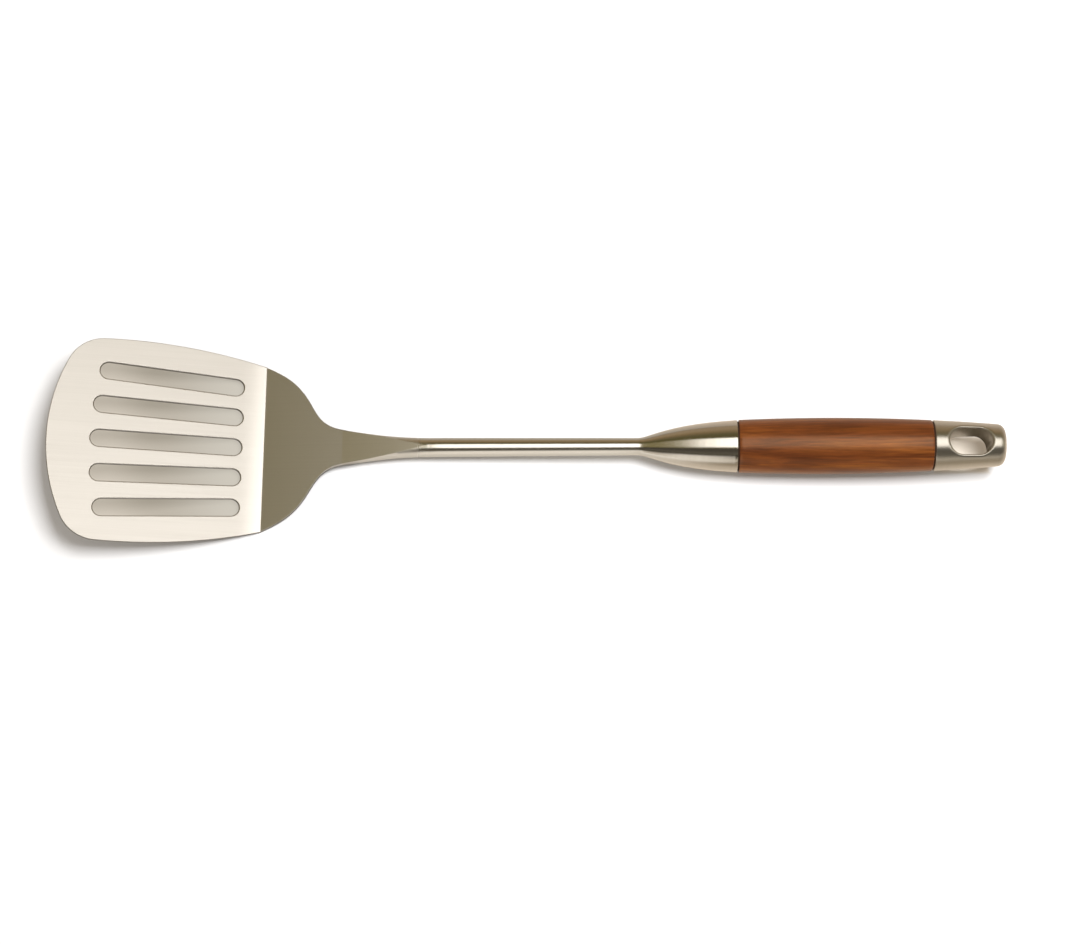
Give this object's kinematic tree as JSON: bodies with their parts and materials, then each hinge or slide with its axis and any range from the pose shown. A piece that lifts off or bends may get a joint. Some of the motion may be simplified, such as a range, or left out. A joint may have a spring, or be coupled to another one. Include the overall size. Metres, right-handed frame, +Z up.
{
  "type": "slotted spatula",
  "caption": "Slotted kitchen turner with a creased steel blade, a round steel shaft, a flared steel ferrule, a barrel-shaped wooden grip and a tail cap with an oblong hanging hole.",
  "frame": {"origin": "on the table, under the middle of the tool's whole length, with the tool lying as it rests", "axes": "+X along the tool towards the tail cap, +Y across the blade, +Z up from the table"},
  "size_m": [0.3498, 0.0764, 0.022],
  "materials": {
    "blade_steel": "satin, brushed lengthwise",
    "shaft_steel": "half-bright, drawn lengthwise",
    "ferrule_steel": "half-bright, turned",
    "cap_steel": "half-bright, cast and brushed",
    "plain_steel": "plain turned steel, hidden",
    "grip_wood": "oiled red-brown hardwood",
    "spacer_fibre": "dark fibre, matt"
  },
  "bodies": {
    "root": {"blade": "blade_steel", "shaft": "shaft_steel", "ferrule": "ferrule_steel", "ferrule_plug": "plain_steel", "front_spacer": "spacer_fibre", "grip": "grip_wood", "tang": "plain_steel", "rear_spacer": "spacer_fibre", "tail_cap": "cap_steel"}
  },
  "joints": []
}
